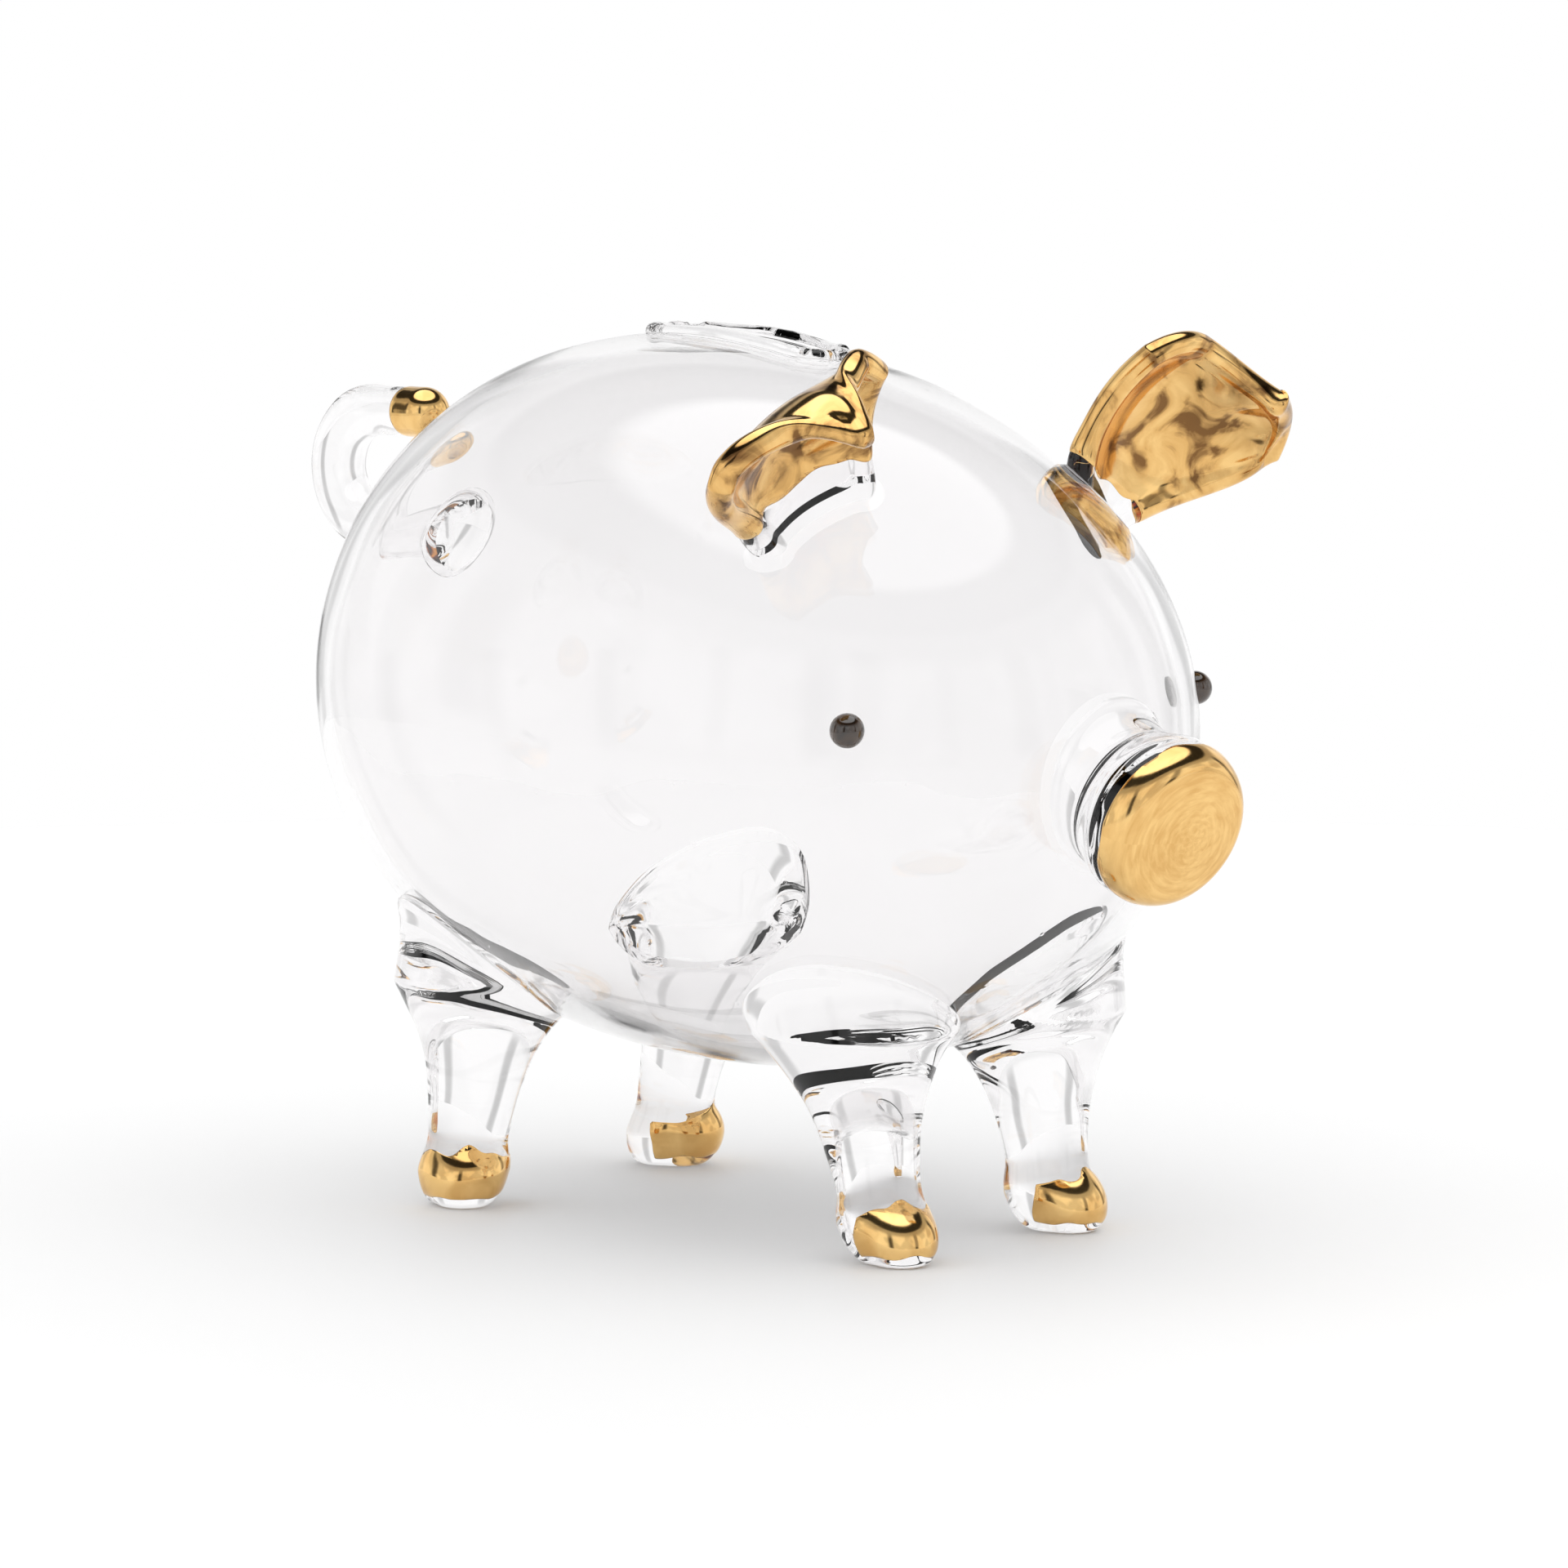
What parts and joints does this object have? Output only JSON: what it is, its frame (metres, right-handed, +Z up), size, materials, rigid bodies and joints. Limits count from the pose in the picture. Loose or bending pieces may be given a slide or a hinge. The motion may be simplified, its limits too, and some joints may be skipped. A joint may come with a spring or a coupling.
{
  "type": "piggy bank",
  "caption": "Hollow blown-glass pig coin bank on solid glass legs, with a slot along its back and gold lustre on ears, snout, toes and tail tip.",
  "frame": {"origin": "middle of the bank's footprint box, on the surface it stands on", "axes": "+Z up, the pig looks along -Y, its left side is +X"},
  "size_m": [0.0976, 0.167, 0.1179],
  "materials": {
    "clear_glass": "clear fire-polished lampworked glass",
    "gold_lustre": "mirror-bright gold lustre fired on glass",
    "dark_bead": "glossy dark brown glass"
  },
  "bodies": {
    "root": {"body_shell": "clear_glass", "slot_lip": "clear_glass", "snout": "clear_glass", "snout_gold": "gold_lustre", "ear_left": "clear_glass", "ear_right": "clear_glass", "ear_gold_left": "gold_lustre", "ear_gold_right": "gold_lustre", "tail": "clear_glass", "tail_gold": "gold_lustre", "leg_front_left": "clear_glass", "leg_front_right": "clear_glass", "leg_rear_left": "clear_glass", "leg_rear_right": "clear_glass", "hoof_gold_front_left": "gold_lustre", "hoof_gold_front_right": "gold_lustre", "hoof_gold_rear_left": "gold_lustre", "hoof_gold_rear_right": "gold_lustre", "eye_left": "dark_bead", "eye_right": "dark_bead"}
  },
  "joints": []
}
